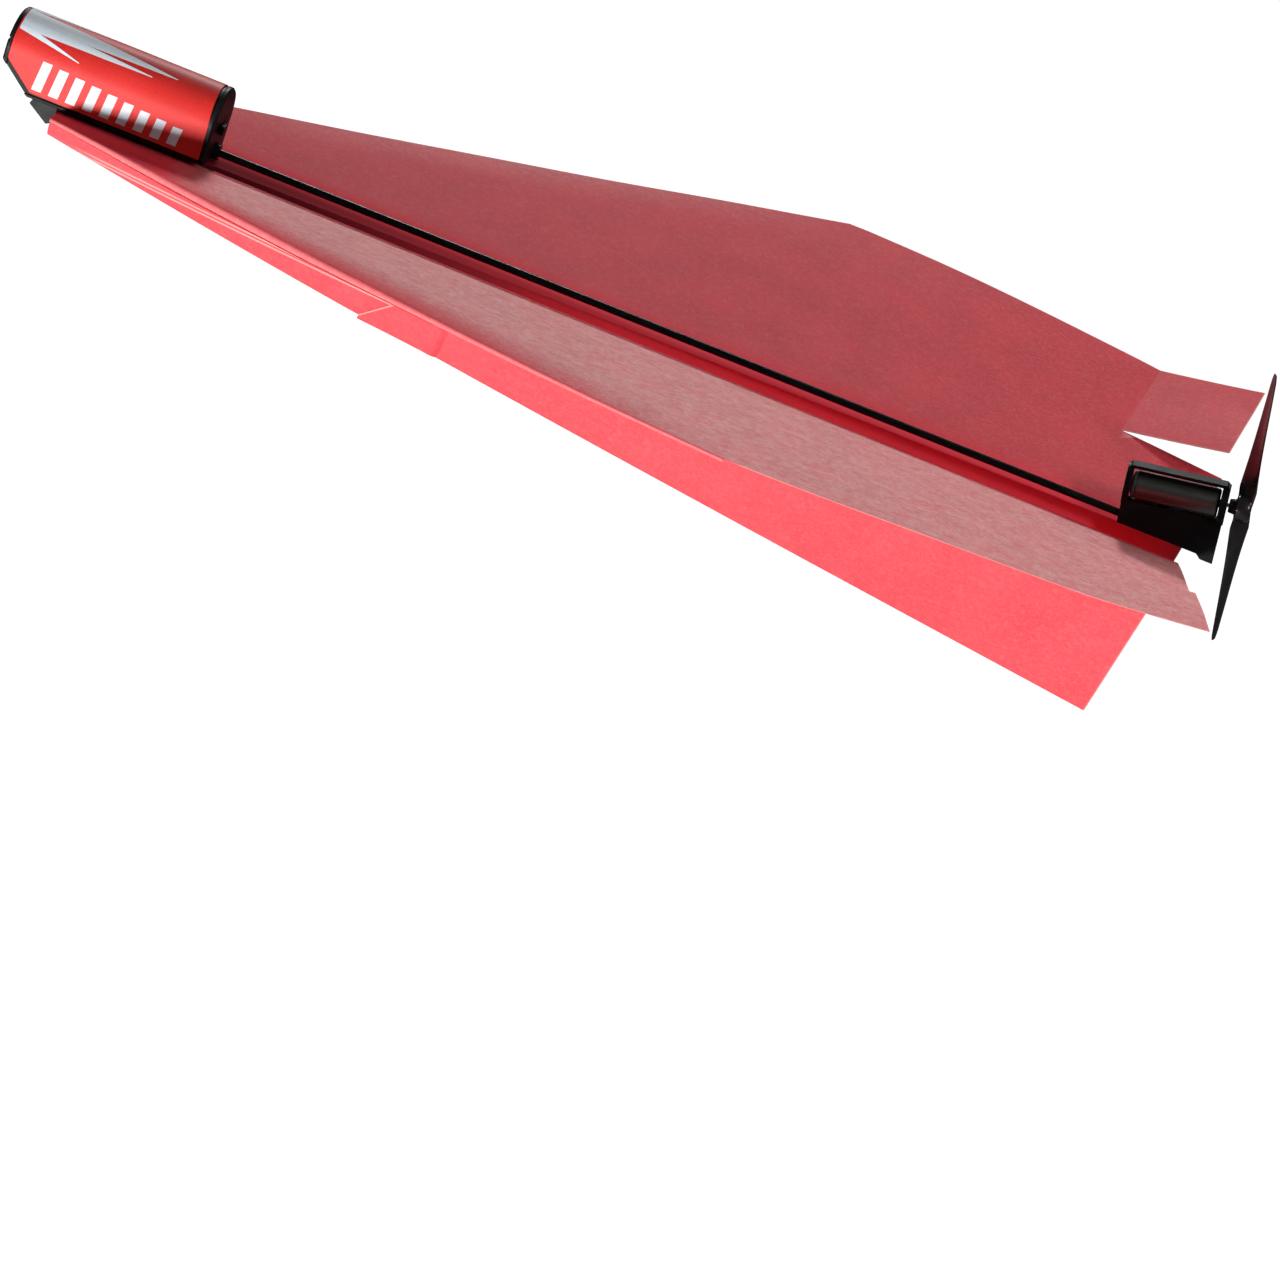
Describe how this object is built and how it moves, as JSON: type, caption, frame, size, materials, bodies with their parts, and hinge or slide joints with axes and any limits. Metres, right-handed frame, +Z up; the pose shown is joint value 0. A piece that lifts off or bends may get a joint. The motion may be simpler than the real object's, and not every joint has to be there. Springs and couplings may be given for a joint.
{
  "type": "powered paper airplane",
  "caption": "Folded red paper airplane with a clip-on electric kit: arched nose module, carbon tube, tail motor pod and two-blade propeller.",
  "frame": {"origin": "middle of the keel's bottom crease, half way along the sheet, which is also the middle of the underside of the bounding box", "axes": "+X aft along the keel's bottom crease, +Y starboard, +Z up"},
  "size_m": [0.2249, 0.1208, 0.0682],
  "materials": {
    "red_paper": "matte uncoated paper, coral red",
    "black_plastic": "semi-gloss moulded black",
    "label_film": "printed red film with plain silver streaks",
    "carbon_fibre": "pultruded carbon tube, satin black",
    "propeller_plastic": "glossy black moulded blade",
    "motor_steel": "dark nickel-plated steel can",
    "nickel": "nickel plate and ground steel",
    "copper": "enamelled copper winding",
    "bronze": "sintered bronze",
    "end_cap_plastic": "ivory moulded plastic",
    "capacitor_sleeve": "dark shrink sleeve",
    "tinned_wire": "tinned copper",
    "circuit_green": "green solder mask",
    "chip_resin": "matt black resin",
    "stamped_steel": "stamped steel",
    "led_lens": "clear red lens",
    "red_insulation": "red silicone insulation",
    "black_insulation": "black silicone insulation"
  },
  "bodies": {
    "kit": {"nose_shell": "black_plastic", "nose_base": "black_plastic", "nose_clip": "black_plastic", "nose_label": "label_film", "supercapacitor": "capacitor_sleeve", "capacitor_lead_negative": "tinned_wire", "capacitor_lead_positive": "tinned_wire", "circuit_board": "circuit_green", "control_chip": "chip_resin", "switch_body": "stamped_steel", "charging_socket": "chip_resin", "status_led": "led_lens", "carbon_tube": "carbon_fibre", "wire_negative": "black_insulation", "wire_positive": "red_insulation", "motor_pod": "black_plastic", "motor_can": "motor_steel", "motor_end_cap": "end_cap_plastic", "front_bush": "bronze", "rear_bush": "bronze", "motor_magnet": "nickel", "brush_lower": "copper", "brush_upper": "copper"},
    "rotor": {"propeller": "propeller_plastic", "motor_shaft": "nickel", "rotor_coil": "copper", "commutator": "copper"},
    "switch": {"switch_slider": "black_plastic"},
    "port_keel": {"keel_wall_port": "red_paper", "lock_tongue_port": "red_paper"},
    "starboard_keel": {"keel_wall_starboard": "red_paper", "lock_tongue_starboard": "red_paper"},
    "port_wing": {"wing_port": "red_paper"},
    "starboard_wing": {"wing_starboard": "red_paper"},
    "port_elevon": {"elevon_port": "red_paper"},
    "starboard_elevon": {"elevon_starboard": "red_paper"}
  },
  "joints": [
    {"name": "keel_open_port", "type": "hinge", "parent": "kit", "child": "port_keel", "pos_m": [-0.1, 0, 0], "axis": [1, 0, 0], "range_deg": [0, 8]},
    {"name": "wing_fold_port", "type": "hinge", "parent": "port_keel", "child": "port_wing", "pos_m": [-0.1, -0.00062, 0.00547], "axis": [-0.9905, 0.0156, -0.1368], "range_deg": [-75, 5]},
    {"name": "elevon_bend_port", "type": "hinge", "parent": "port_wing", "child": "port_elevon", "pos_m": [0.0836, -0.0301, 0.0361], "axis": [0.096, -0.9751, 0.2], "range_deg": [-33, 27]},
    {"name": "keel_open_starboard", "type": "hinge", "parent": "kit", "child": "starboard_keel", "pos_m": [-0.1, 0, 0], "axis": [-1, 0, 0], "range_deg": [0, 8]},
    {"name": "wing_fold_starboard", "type": "hinge", "parent": "starboard_keel", "child": "starboard_wing", "pos_m": [-0.1, 0.00062, 0.00547], "axis": [0.9905, 0.0156, 0.1368], "range_deg": [-75, 5]},
    {"name": "elevon_bend_starboard", "type": "hinge", "parent": "starboard_wing", "child": "starboard_elevon", "pos_m": [0.0836, 0.0301, 0.0361], "axis": [-0.096, -0.9751, -0.2], "range_deg": [-44, 16]},
    {"name": "propeller_spin", "type": "hinge", "parent": "kit", "child": "rotor", "pos_m": [0.1043, 0, 0.0455], "axis": [0.9537, 0, 0.3007], "continuous": true},
    {"name": "power_switch", "type": "slide", "parent": "kit", "child": "switch", "axis": [0, 1, 0], "range_m": [0, 0.002]}
  ],
  "couplings": [
    {"joint": "keel_open_starboard", "follows": "keel_open_port", "ratio": 1}
  ]
}
